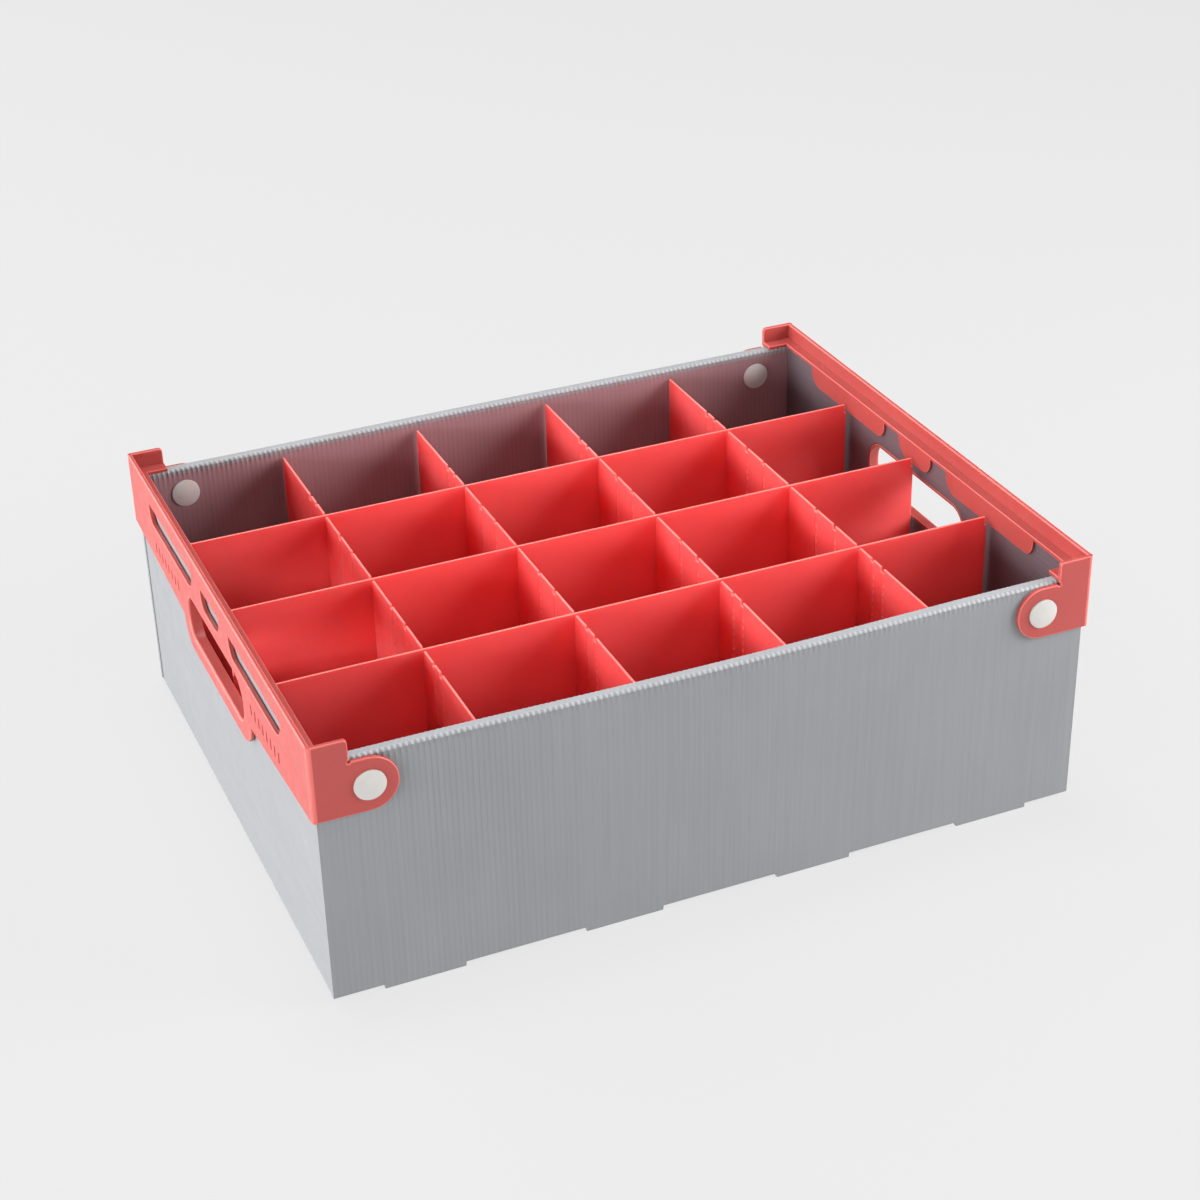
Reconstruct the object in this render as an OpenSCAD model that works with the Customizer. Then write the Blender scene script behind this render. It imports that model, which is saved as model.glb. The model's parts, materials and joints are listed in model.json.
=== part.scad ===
// Partitioned storage box of folded fluted board with moulded end frames.
// Frame: +Z up, X along the length, Y across; origin on the ground under the middle.

/* [Box] */
// Outer length, over the two end frames
box_l = 500; // [420:10:600]
// Outer width, over the ears of the end frames
box_w = 400; // [320:10:500]
// Height of the folded rim of the long walls above the ground
rim_z = 163.5; // [150:0.5:260]
// How far the feet stand below the base
foot_drop = 3; // [1:0.5:4]
// Length of one foot along the wall
foot_l = 50; // [30:1:60]
// Distance between the middles of neighbouring feet
foot_step = 127; // [100:1:130]

/* [Fluted board] */
// Thickness of the board
board_t = 4; // [3:0.5:5]
// Distance from one web of the board to the next
flute_pitch = 3.4; // [3:0.1:6]
// Thickness of each skin of the board
skin_t = 0.45; // [0.3:0.05:0.8]
// Thickness of the webs between the skins
web_t = 0.35; // [0.25:0.05:0.6]

/* [End frames] */
// Wall thickness of the frame's plate and ears
frame_t = 3; // [2:0.5:4]
// Height of the stacking lip above the ledge
lip_rise = 10.5; // [6:0.5:14]
// Thickness of the ledge that covers the board's edge
ledge_t = 2.5; // [1.5:0.5:3]
// Length that the lip wraps round each corner, from the outer face
wrap_l = 23.5; // [20:0.5:26]
// Radius of the ear's round end
ear_r = 17.3; // [15:0.1:18]
// Distance from the frame's outer face to the ear's centre
ear_in = 34.3; // [32:0.1:40]
// Depth of the ear's centre below the rim
ear_drop = 18.5; // [18:0.5:22]
// Length of the hand hole
hole_l = 125; // [90:1:130]
// Height of the hand hole
hole_h = 30.5; // [24:0.5:32]
// Depth of the hand hole's centre below the rim
hole_drop = 37.25; // [36:0.25:42]
// Width of the ring round the hand hole
ring_w = 12; // [8:0.5:14]
// Length of the two long windows and lobes
window_l = 106; // [90:1:110]
// Length of the middle window and lobe
window_mid_l = 42; // [30:1:46]
// Height of the windows in the plate
window_h = 13.5; // [10:0.5:13.5]

/* [Rivets] */
// Diameter of both rivet heads
rivet_head_d = 19; // [14:0.5:22]
// Height of each rivet head
rivet_head_h = 2.2; // [1.5:0.1:3]
// Outer diameter of the rivet's hollow shank
rivet_shank_d = 8; // [6:0.5:9]

/* [Dividers] */
// Thickness of the dividers
divider_t = 1.5; // [1.2:0.1:2]
// Depth of the dividers' top edge below the rim
divider_drop = 7; // [6:0.5:14]

/* [Hidden] */
$fn = 64;
e = 1;                                    // overshoot of cutting shapes
gap = 0.1;                                // clearance between fixed neighbours

// Colours
grey = [0.56, 0.58, 0.60];
red = [0.85, 0.20, 0.19];
white = [0.90, 0.89, 0.86];

// Long walls: outer face, outer layer's inner face, inner layer's inner face
wall_y = box_w / 2 - frame_t - gap;
mid_y = wall_y - board_t;
inner_y = mid_y - board_t;
wall_x = box_l / 2 - frame_t - gap;       // half length of the long walls
fold_z = rim_z - board_t;                 // underside of the rim's strip
rim_r = 2.6;                              // rounding of the two folds on the rim

// End walls stand a little inside the ends of the long walls
end_set = 0.5;
end_x = wall_x - end_set;
end_in_x = end_x - board_t;
base_z = foot_drop + board_t;             // top of the base

// Feet: four along each long wall
foot_x = [for (i = [-1.5:1:1.5]) i * foot_step];

// End frame
plate_x = box_l / 2 - frame_t;            // inner face of the plate
ledge_z = rim_z + 0.5;
lip_z = ledge_z + ledge_t + lip_rise;
lobe_t = 2;
lobe_x = end_in_x - gap - lobe_t;         // inner face of the lobes
lobe_z = ledge_z - window_h + 0.8;
window_z = ledge_z - window_h;
window_y = 94.5;                          // centre of a long window
lobe_r = [12.5, 9];                       // the two lower corner radii of a window or lobe
ledge_in_y = inner_y - 1.5;
ear_x = box_l / 2 - ear_in;
ear_z = rim_z - ear_drop;
corner_r = 3;                             // vertical corner of the frame
lip_r = 2.5;                              // top corner of the lip's end
relief_r = 1.1;                           // relief between the lip and the ear
hole_z = rim_z - hole_drop;
hole_r = 14;
ring_r = 18;
ring_z = hole_z - hole_h / 2 - ring_w + 1.5;
plate_low = ear_z - ear_r;                // lower edge of the plate at the corners
plate_dip = plate_low - 9.5;              // lower edge of the plate beside the ring
sleeve_t = 2;
sleeve_x = end_in_x;                      // inner end of the sleeve
groove_n = 8;                             // grip grooves on each side of the hand hole
groove_pitch = 8;
groove_size = [2.2, 7];
groove_depth = 0.5;

// Rivets
bore_r = rivet_shank_d / 2 + 0.2;
stud_r = rivet_shank_d / 2 - 1.5;
rivet_out_y = box_w / 2;                  // face under the outer head
rivet_in_y = inner_y;                     // face under the inner head

// Dividers: NODES names one cross divider and one long divider for each line between cells
cells_x = 5;
cells_y = 4;
cell_x = 2 * (end_in_x + 1) / cells_x;
cell_y = 2 * inner_y / cells_y;
cross_x = [for (i = [1:cells_x - 1]) (i - cells_x / 2) * cell_x];
long_y = [for (i = [1:cells_y - 1]) (i - cells_y / 2) * cell_y];
divider_z0 = base_z + 0.2;
divider_z1 = rim_z - divider_drop;
lap_z = (divider_z0 + divider_z1) / 2;
slot_w = divider_t + 0.5;
cross_half = inner_y - 0.5;
long_half = lobe_x - 0.4;
long_step = 1.4;                          // how far the divider's top steps in beside the lobes
// Fractions of the inner width where the cross dividers can be broken out for other layouts
spare_wide = [1 / 6, 1 / 3, 2 / 3, 5 / 6];
spare_small = [1 / 5, 2 / 5, 3 / 5, 4 / 5];
wide_notch = [3.8, 3.5];
small_notch = [3, 2.2];
groove_line = [1, 0.35];                  // width and depth of the score below a notch
dash_size = [0.9, 2.4];                   // break-out dashes beside the score
dash_step = 5.4;
dash_off = 2.4;
lead_in = [3, 4];                         // half width and depth of a slot's mouth

// --- Fluted board -----------------------------------------------------------------------------

// Cross-section of a board: length along X from 0, thickness along Y from 0
module board_section(length) {
    count = floor((length - web_t) / flute_pitch);
    edge = (length - count * flute_pitch + web_t) / 2;
    difference() {
        square([length, board_t]);
        for (i = [0:count - 1])
            translate([edge + i * flute_pitch, skin_t])
                square([flute_pitch - web_t, board_t - 2 * skin_t]);
    }
}

module rivet_bores() {
    for (sx = [-1, 1])
        translate([sx * ear_x, 0, ear_z])
            rotate([90, 0, 0])
                cylinder(r = bore_r, h = 2 * box_w, center = true);
}

// Outer layer of the wall on the -Y side
module outer_wall() {
    color(grey) difference() {
        union() {
            translate([-wall_x, -wall_y, foot_drop])
                linear_extrude(fold_z - foot_drop)
                    board_section(2 * wall_x);
            for (x = foot_x)
                translate([x - foot_l / 2, -wall_y, 0])
                    cube([foot_l, board_t, foot_drop]);
        }
        rivet_bores();
    }
}

// Strip between the two folds on top of the wall on the -Y side
module rim_fold() {
    color(grey)
        translate([-wall_x, 0, 0])
            rotate([90, 0, 90])
                linear_extrude(2 * wall_x)
                    intersection() {
                        translate([-mid_y, fold_z])
                            slot_shape(2 * board_t, 2 * board_t, rim_r);
                        translate([-wall_y, fold_z])
                            square([2 * board_t, board_t]);
                    }
}

// Inner layer of the wall on the -Y side, with its lock tabs down in the base's notches
module inner_wall() {
    color(grey) difference() {
        union() {
            translate([-end_in_x + gap, -mid_y, base_z])
                linear_extrude(fold_z - base_z)
                    board_section(2 * (end_in_x - gap));
            for (x = foot_x)
                translate([x - foot_l / 2 + 1, -mid_y + gap, foot_drop])
                    cube([foot_l - 2, board_t - 2 * gap, board_t]);
        }
        rivet_bores();
    }
}

// Base, with flutes across the box and a notch at each foot
module base_panel() {
    color(grey) difference() {
        translate([-end_in_x + gap, mid_y - gap, foot_drop])
            rotate([90, 0, 0])
                linear_extrude(2 * (mid_y - gap))
                    board_section(2 * (end_in_x - gap));
        for (x = foot_x, s = [-1, 1])
            translate([x - foot_l / 2, s * (mid_y + inner_y) / 2 - board_t / 2 - (s < 0 ? e : 0), 0])
                cube([foot_l, board_t + e, base_z + e]);
    }
}

// Wall on the -X end, with flutes across the box, the cut-out for the sleeve, and a notch
// under the end of each rim strip
module end_wall() {
    color(grey) difference() {
        translate([-end_x, mid_y - gap, foot_drop])
            rotate([90, 0, 0])
                linear_extrude(2 * (mid_y - gap))
                    intersection() {
                        square([board_t, rim_z - foot_drop]);
                        translate([board_t, 0])
                            rotate(90)
                                board_section(rim_z - foot_drop);
                    }
        translate([-end_x - e, 0, hole_z])
            rotate([90, 0, 90])
                linear_extrude(board_t + 2 * e)
                    slot_shape(hole_l, hole_h, hole_r, sleeve_t + 0.5);
        for (s = [-1, 1])
            translate([-end_x - e, s > 0 ? inner_y - gap : -mid_y - e, fold_z - gap])
                cube([board_t + 2 * e, board_t + gap + e, board_t + gap + e]);
    }
}

// --- End frame on the -X end ------------------------------------------------------------------

// Rounded rectangle about the origin, grown by extra on every side
module slot_shape(l, h, r, extra = 0) {
    square([l + 2 * extra, h - 2 * r], center = true);
    square([l - 2 * r, h + 2 * extra], center = true);
    for (sy = [-1, 1], sz = [-1, 1])
        translate([sy * (l / 2 - r), sz * (h / 2 - r)])
            circle(r = r + extra);
}

// Window or lobe outline: flat top at z = 0 going down by h, with round lower corners
module drop_shape(l, h) {
    intersection() {
        translate([-l / 2, -h])
            square([l, h]);
        union() {
            translate([-l / 2 + lobe_r[0], -h])
                square([l - lobe_r[0] - lobe_r[1], h]);
            for (side = [0, 1])
                translate([(side - 0.5) * l + (1 - 2 * side) * lobe_r[side], -h + lobe_r[side]]) {
                    circle(r = lobe_r[side]);
                    translate([-lobe_r[side], 0])
                        square([2 * lobe_r[side], h]);
                }
        }
    }
}

// The three windows, or lobes, side by side along Y, hanging from z = 0
module drop_row(h) {
    drop_shape(window_mid_l, h);
    for (s = [-1, 1])
        translate([s * window_y, 0])
            drop_shape(window_l, h);
}

// Elevation of the end plate in Y and Z
module plate_profile() {
    difference() {
        union() {
            polygon([
                [-box_w / 2, plate_low], [-hole_l / 2 - ring_w, plate_dip],
                [hole_l / 2 + ring_w, plate_dip], [box_w / 2, plate_low],
                [box_w / 2, lip_z], [-box_w / 2, lip_z]
            ]);
            translate([0, (ring_z + window_z) / 2])
                slot_shape(hole_l + 2 * ring_w, window_z - ring_z, ring_r);
        }
        translate([0, hole_z])
            slot_shape(hole_l, hole_h, hole_r);
        translate([0, ledge_z])
            drop_row(window_h);
    }
}

// Elevation of the corner wraps and ears in X and Z, with the whole depth of the plate
module side_profile() {
    difference() {
        union() {
            translate([-box_l / 2, 0])
                square([frame_t, lip_z]);
            translate([-box_l / 2, plate_low])
                square([wrap_l, lip_z - plate_low - lip_r]);
            translate([-box_l / 2, plate_low])
                square([wrap_l - lip_r, lip_z - plate_low]);
            translate([-box_l / 2 + wrap_l - lip_r, lip_z - lip_r])
                circle(r = lip_r);
            translate([-box_l / 2, plate_low])
                square([ear_in, 2 * ear_r]);
            translate([-ear_x, ear_z])
                circle(r = ear_r);
        }
        translate([-box_l / 2 + wrap_l, ear_z + ear_r])
            circle(r = relief_r);
    }
}

// Plan of the frame's outer skin in X and Y
module plan_profile() {
    difference() {
        union() {
            translate([-box_l / 2 + corner_r, -box_w / 2])
                square([box_l / 2 - ear_x + ear_r + corner_r, box_w]);
            translate([-box_l / 2, -box_w / 2 + corner_r])
                square([box_l / 2, box_w - 2 * corner_r]);
            for (s = [-1, 1])
                translate([-box_l / 2 + corner_r, s * (box_w / 2 - corner_r)])
                    circle(r = corner_r);
        }
        translate([-plate_x, -box_w / 2 + frame_t])
            square([box_l, box_w - 2 * frame_t]);
    }
}

module frame_skin() {
    intersection() {
        linear_extrude(lip_z)
            plan_profile();
        translate([-box_l / 2 - e, 0, 0])
            rotate([90, 0, 90])
                linear_extrude(box_l / 2)
                    plate_profile();
        translate([0, box_w / 2 + e, 0])
            rotate([90, 0, 0])
                linear_extrude(box_w + 2 * e)
                    side_profile();
    }
}

// Ledge over the board's edges, along the end and round both corners
module frame_ledge() {
    translate([-plate_x - e, -wall_y - gap - e, ledge_z])
        cube([plate_x + e - lobe_x, 2 * (wall_y + gap + e), ledge_t]);
    for (s = [-1, 1])
        translate([-plate_x - e, s > 0 ? ledge_in_y : -wall_y - gap - e, ledge_z])
            cube([wrap_l - frame_t + e, wall_y + gap + e - ledge_in_y, ledge_t]);
}

// Inner flange: three lobes that hang from the ledge inside the end wall
module frame_lobes() {
    translate([-lobe_x - lobe_t, 0, ledge_z + ledge_t / 2])
        rotate([90, 0, 90])
            linear_extrude(lobe_t)
                drop_row(ledge_z + ledge_t / 2 - lobe_z);
}

// Sleeve that lines the hand hole
module frame_sleeve() {
    translate([-plate_x - e, 0, hole_z])
        rotate([90, 0, 90])
            linear_extrude(plate_x + e - sleeve_x)
                difference() {
                    slot_shape(hole_l, hole_h, hole_r, sleeve_t);
                    slot_shape(hole_l, hole_h, hole_r);
                }
}

// Short grip grooves on the plate, beside the hand hole
module frame_grooves() {
    for (s = [-1, 1], i = [0:groove_n - 1])
        translate([-box_l / 2, s * (hole_l / 2 + ring_w + 8 + i * groove_pitch), ear_z - 10])
            cube([2 * groove_depth, groove_size[0], groove_size[1]], center = true);
}

module end_frame() {
    color(red) difference() {
        union() {
            frame_skin();
            frame_ledge();
            frame_lobes();
            frame_sleeve();
        }
        frame_grooves();
        rivet_bores();
    }
}

// --- Rivets -----------------------------------------------------------------------------------

// Low domed head on +Z, with a flat underside at z = 0
module rivet_head() {
    rim_h = rivet_head_h * 0.45;
    crown = rivet_head_h - rim_h;
    sphere_r = (pow(rivet_head_d / 2, 2) + crown * crown) / (2 * crown);
    cylinder(d = rivet_head_d, h = rim_h);
    intersection() {
        cylinder(d = rivet_head_d, h = rivet_head_h);
        translate([0, 0, rivet_head_h - sphere_r])
            sphere(r = sphere_r, $fn = 96);
    }
}

// Outer half on the -Y side: a head with a hollow shank
module rivet_cap() {
    shank_l = rivet_out_y - rivet_in_y - 0.5;
    color(white)
        translate([0, -rivet_out_y, 0])
            rotate([90, 0, 0])
                difference() {
                    union() {
                        rivet_head();
                        translate([0, 0, -shank_l])
                            cylinder(d = rivet_shank_d, h = shank_l + e / 2);
                    }
                    translate([0, 0, -shank_l - e])
                        cylinder(r = stud_r + 0.15, h = shank_l);
                }
}

// Inner half on the -Y side: a head with the stud that snaps into the shank
module rivet_stud() {
    stud_l = rivet_out_y - rivet_in_y - 3;
    color(white)
        translate([0, -rivet_in_y, 0])
            rotate([-90, 0, 0]) {
                rivet_head();
                translate([0, 0, -stud_l])
                    cylinder(r = stud_r, h = stud_l + e / 2);
            }
}

// --- Dividers ---------------------------------------------------------------------------------

// Notch at the top edge over a spare slot, with a column of break-out dashes beside it
module spare_slot(notch) {
    translate([-notch[0] / 2, divider_z1 - notch[1]])
        square([notch[0], notch[1] + e]);
    for (z = [lap_z + dash_step / 2:dash_step:divider_z1 - 2 * dash_step])
        translate([-dash_off - dash_size[0] / 2, z])
            square(dash_size);
}

// Elevation of a cross divider in Y and Z
module cross_profile() {
    difference() {
        translate([-cross_half, divider_z0])
            square([2 * cross_half, divider_z1 - divider_z0]);
        for (y = long_y)
            translate([y, 0]) {
                translate([-slot_w / 2, lap_z - 0.2])
                    square([slot_w, divider_z1]);
                translate([0, divider_z1])
                    polygon([
                        [-lead_in[0] - e, e], [-slot_w / 2, -lead_in[1]],
                        [slot_w / 2, -lead_in[1]], [lead_in[0] + e, e]
                    ]);
            }
        for (f = spare_wide)
            translate([(2 * f - 1) * inner_y, 0])
                spare_slot(wide_notch);
        for (f = spare_small)
            translate([(2 * f - 1) * inner_y, 0])
                spare_slot(small_notch);
    }
}

// Divider across the box: slots from the top down to the half lap, scores on both faces
module cross_divider() {
    color(red) difference() {
        translate([-divider_t / 2, 0, 0])
            rotate([90, 0, 90])
                linear_extrude(divider_t)
                    cross_profile();
        for (f = concat(spare_wide, spare_small), s = [-1, 1])
            translate([s * divider_t / 2, (2 * f - 1) * inner_y, 0])
                translate([-groove_line[1], -groove_line[0] / 2, 0])
                    cube([2 * groove_line[1], groove_line[0], rim_z]);
    }
}

// Divider along the box: slots from the bottom up to the half lap
module long_divider() {
    color(red)
        translate([0, divider_t / 2, 0])
            rotate([90, 0, 0])
                linear_extrude(divider_t)
                    difference() {
                        union() {
                            translate([-long_half, divider_z0])
                                square([2 * long_half, lobe_z - 1 - divider_z0]);
                            translate([-long_half + long_step, divider_z0])
                                square([2 * (long_half - long_step), divider_z1 - divider_z0]);
                        }
                        for (x = cross_x)
                            translate([x - slot_w / 2, 0])
                                square([slot_w, lap_z + 0.2]);
                    }
}

// --- Assembly ---------------------------------------------------------------------------------

module at_rear() { rotate([0, 0, 180]) children(); }

module corner_rivets(part, left, rear) {
    mirror([0, rear ? 1 : 0, 0])
        translate([left ? -ear_x : ear_x, 0, ear_z])
            if (part == "cap") rivet_cap();
            else rivet_stud();
}

base_panel();
outer_wall();  // front_outer_wall
at_rear() outer_wall();  // rear_outer_wall
rim_fold();  // front_rim_fold
at_rear() rim_fold();  // rear_rim_fold
inner_wall();  // front_inner_wall
at_rear() inner_wall();  // rear_inner_wall
end_wall();  // left_end_wall
at_rear() end_wall();  // right_end_wall
end_frame();  // left_end_frame
at_rear() end_frame();  // right_end_frame
corner_rivets("cap", true, false);  // front_left_rivet_cap
corner_rivets("cap", false, false);  // front_right_rivet_cap
corner_rivets("cap", true, true);  // rear_left_rivet_cap
corner_rivets("cap", false, true);  // rear_right_rivet_cap
corner_rivets("stud", true, false);  // front_left_rivet_stud
corner_rivets("stud", false, false);  // front_right_rivet_stud
corner_rivets("stud", true, true);  // rear_left_rivet_stud
corner_rivets("stud", false, true);  // rear_right_rivet_stud
translate([cross_x[0], 0, 0]) cross_divider();  // cross_divider_1
translate([cross_x[1], 0, 0]) cross_divider();  // cross_divider_2
translate([cross_x[2], 0, 0]) cross_divider();  // cross_divider_3
translate([cross_x[3], 0, 0]) cross_divider();  // cross_divider_4
translate([0, long_y[0], 0]) long_divider();  // long_divider_front
translate([0, long_y[1], 0]) long_divider();  // long_divider_middle
translate([0, long_y[2], 0]) long_divider();  // long_divider_rear
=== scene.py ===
"""Looks of a partitioned storage box of fluted board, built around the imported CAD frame.

Lengths are in metres, in the CAD's own frame: X along the box, Y across it, Z up, feet on Z = 0.
"""
import itertools
import json
import math
import random

import bmesh
import bpy
from mathutils import Matrix, Vector

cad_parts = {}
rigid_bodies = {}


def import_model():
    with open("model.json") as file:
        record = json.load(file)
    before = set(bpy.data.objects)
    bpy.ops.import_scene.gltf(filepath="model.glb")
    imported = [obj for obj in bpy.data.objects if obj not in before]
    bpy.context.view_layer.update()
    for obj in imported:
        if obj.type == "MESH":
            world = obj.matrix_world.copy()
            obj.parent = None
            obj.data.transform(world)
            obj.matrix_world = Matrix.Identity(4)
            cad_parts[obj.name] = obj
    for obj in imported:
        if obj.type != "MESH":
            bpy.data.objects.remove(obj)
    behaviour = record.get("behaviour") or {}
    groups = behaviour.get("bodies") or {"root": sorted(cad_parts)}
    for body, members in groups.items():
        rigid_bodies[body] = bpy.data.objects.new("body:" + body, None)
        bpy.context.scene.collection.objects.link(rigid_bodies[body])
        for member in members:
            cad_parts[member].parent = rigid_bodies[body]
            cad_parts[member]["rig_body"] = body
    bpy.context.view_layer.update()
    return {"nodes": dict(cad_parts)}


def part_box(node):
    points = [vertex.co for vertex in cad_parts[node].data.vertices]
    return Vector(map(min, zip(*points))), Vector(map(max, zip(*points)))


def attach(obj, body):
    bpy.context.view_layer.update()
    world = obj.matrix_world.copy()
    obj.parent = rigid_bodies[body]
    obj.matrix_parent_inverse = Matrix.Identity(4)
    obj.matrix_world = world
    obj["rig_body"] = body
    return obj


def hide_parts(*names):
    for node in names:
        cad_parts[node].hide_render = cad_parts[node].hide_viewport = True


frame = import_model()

MM = 0.001
NODES = frame["nodes"]
FRONT, REAR = -1, 1

# --- Sizes read from the frame ------------------------------------------------------------------
OUTER_LOW, OUTER_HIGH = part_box("front_outer_wall")
INNER_LOW, INNER_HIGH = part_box("front_inner_wall")
_, RIM_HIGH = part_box("front_rim_fold")
BASE_LOW, BASE_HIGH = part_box("base_panel")
END_LOW, END_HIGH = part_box("left_end_wall")
CAP_LOW, CAP_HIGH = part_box("front_left_rivet_cap")
FRAME_LOW, FRAME_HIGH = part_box("left_end_frame")

WALL_Q = -OUTER_LOW.y                 # distance from the middle to the long walls' outer face
MID_Q = -OUTER_HIGH.y                 # to the face between the two layers
INNER_Q = -INNER_HIGH.y               # to the inner face
WALL_X = OUTER_HIGH.x
FOLD_Z = OUTER_HIGH.z                 # underside of the rim strip
RIM_Z = RIM_HIGH.z
BOARD = WALL_Q - MID_Q

# --- Board: the CAD's flutes, feet, tabs and bores, and details that it leaves to the looks --------
FLUTE_PITCH = 3.4 * MM
STEPS_PER_FLUTE = 8
SKIN_SINK = 0.035 * MM                # how far a skin sinks between two webs
CREASE_SINK = 0.55 * MM               # the same at a crease, where the flutes are crushed
CREASE_REACH = 1.8 * MM               # the height over which that falls off below the fold
FADE_SINK, FADE_REACH = 0.07 * MM, 25 * MM   # a slighter sinking that falls off more slowly
CRUSH = (0.65, 1.25)                  # range of each flute's share in the crease
STATION_GAP = 0.1 * MM                # least distance from a flute's point to a break
WALL_HEIGHTS = [height * MM for height in (12, 40, 75, 110, 140, 150)]
CREASE_STEPS = [step * MM for step in (5, 3.5, 2.4, 1.5, 0.8, 0)]   # rows close below the fold
RIM_ROUND = 1.8 * MM
EDGE_ROUND = 1.0 * MM
FIT = 0.1 * MM                        # gap round the end walls
FOOT_STEP = 127 * MM
FOOT_LENGTH = 50 * MM
TAB_PLAY = 1 * MM
FOOT_RAMP = 0.35 * MM
BOW = {FRONT: 3.0 * MM, REAR: 1.5 * MM}   # how far the long walls bulge at the middle of the rim
BOW_HALF = 196 * MM
SHOW_FULL, SHOW_FAINT = -180 * MM, 110 * MM   # where a long wall's flutes show fully and least
SHOW_LEAST = 0.15
BOARD_SHARP, RED_SHARP = 35, 32       # edges turning by more degrees than this stay sharp
RIVET_X = (CAP_LOW.x + CAP_HIGH.x) / 2
BORE_RADIUS = 4.2 * MM

# End frames, as in the CAD
FRAME_X, FRAME_Y = -FRAME_LOW.x, FRAME_HIGH.y
FRAME_THICK = 3 * MM
FRAME_ROUND = 0.7 * MM
PLATE_ROUNDS = [1.0 * MM, 1.4 * MM, 0.5 * MM, 0.5 * MM, 0.5 * MM]   # outside, hand hole, windows
CORNER_ROUND = 3 * MM
HOLE_LENGTH, HOLE_HEIGHT, HOLE_RADIUS = 125 * MM, 30.5 * MM, 14 * MM
HOLE_DROP = 37.25 * MM
HOLE_Z = RIM_Z - HOLE_DROP
RING_WIDTH, RING_RADIUS = 12 * MM, 18 * MM
WINDOW_LENGTH, WINDOW_MIDDLE, WINDOW_HEIGHT, WINDOW_Y = 106 * MM, 42 * MM, 13.5 * MM, 94.5 * MM
LOBE_LARGE, LOBE_SMALL, LOBE_THICK = 12.5 * MM, 9 * MM, 2 * MM
LOBE_X = -END_HIGH.x - FIT - LOBE_THICK
LEDGE_Z, LEDGE, LEDGE_LIP = RIM_Z + 0.5 * MM, 2.5 * MM, 1.5 * MM
LOBE_RAISE = 0.8 * MM
LOBE_Z = LEDGE_Z - WINDOW_HEIGHT + LOBE_RAISE
SLEEVE, SLEEVE_PLAY = 2 * MM, 0.5 * MM
SLEEVE_GROW = 0.02 * MM               # keeps the sleeve's inside off the hand hole's edge
LEDGE_ROUND, LOBE_ROUND, SLEEVE_ROUND = 0.5 * MM, 0.45 * MM, 0.4 * MM
WRAP, LIP_ROUND, RELIEF = 23.5 * MM, 2.5 * MM, 1.1 * MM
EAR_IN, EAR_RADIUS = 34.3 * MM, 17.3 * MM
EAR_Z = (CAP_LOW.z + CAP_HIGH.z) / 2
PLATE_LOW = EAR_Z - EAR_RADIUS
GROOVES, GROOVE_STEP, GROOVE_START, GROOVE_DROP = 8, 8 * MM, 8 * MM, 10 * MM
GROOVE_WIDTH, GROOVE_HEIGHT, GROOVE_DEPTH = 2.2 * MM, 7 * MM, 0.5 * MM

# Dividers, as in the CAD
SLOT, LEAD_IN, LEAD_DEEP = 2 * MM, 3 * MM, 4 * MM
LONG_STEP = 1.4 * MM
CROSS_HALF = INNER_Q - 0.5 * MM
LONG_Y = [i * INNER_Q / 2 for i in (-1, 0, 1)]
SPARE_WIDE = [1 / 6, 1 / 3, 2 / 3, 5 / 6]
SPARE_SMALL = [1 / 5, 2 / 5, 3 / 5, 4 / 5]
WIDE_NOTCH, SMALL_NOTCH = (3.8 * MM, 3.5 * MM), (3 * MM, 2.2 * MM)
SCORE_WIDTH, SCORE_DEPTH = 1 * MM, 0.35 * MM
DASH_WIDTH, DASH_HEIGHT, DASH_STEP, DASH_OFF = 0.9 * MM, 2.4 * MM, 5.4 * MM, 2.4 * MM
DIVIDER_ROUND = 0.4 * MM


# --- Mesh helpers ---------------------------------------------------------------------------------
def linked(name, mesh):
    piece = bpy.data.objects.new(name, mesh)
    bpy.context.scene.collection.objects.link(piece)
    return piece


def new_piece(name, vertices, faces):
    """A piece from points and faces, with its normals turned outwards."""
    mesh = bpy.data.meshes.new(name)
    mesh.from_pydata(vertices, [], faces)
    bm = bmesh.new()
    bm.from_mesh(mesh)
    bmesh.ops.recalc_face_normals(bm, faces=bm.faces)
    bm.to_mesh(mesh)
    bm.free()
    return linked(name, mesh)


def shade(piece, angle=BOARD_SHARP):
    """Smooth shading that keeps the edges sharper than angle."""
    bm = bmesh.new()
    bm.from_mesh(piece.data)
    bmesh.ops.recalc_face_normals(bm, faces=bm.faces)
    limit = math.radians(angle)
    for face in bm.faces:
        face.smooth = True
    for edge in bm.edges:
        edge.smooth = not (edge.is_manifold and edge.calc_face_angle(0) > limit)
    bm.to_mesh(piece.data)
    bm.free()
    return piece


def lofted(name, loops):
    """Closed skin through a row of closed loops with the same number of points each."""
    size = len(loops[0])
    vertices = [point for loop in loops for point in loop]
    faces = []
    for row in range(len(loops) - 1):
        start = row * size
        for i in range(size):
            j = (i + 1) % size
            faces.append((start + i, start + j, start + size + j, start + size + i))
    faces.append(tuple(reversed(range(size))))
    faces.append(tuple(range((len(loops) - 1) * size, len(loops) * size)))
    return new_piece(name, vertices, faces)


def combine(piece, others, operation):
    """Joins, cuts or intersects the piece with the others, and removes them."""
    for other in others:
        modifier = piece.modifiers.new("combine", "BOOLEAN")
        modifier.operation = operation
        modifier.solver = "EXACT"
        modifier.object = other
    graph = bpy.context.evaluated_depsgraph_get()
    mesh = bpy.data.meshes.new_from_object(piece.evaluated_get(graph))
    piece.modifiers.clear()
    piece.data = mesh
    for other in others:
        bpy.data.objects.remove(other)
    return piece


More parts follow.
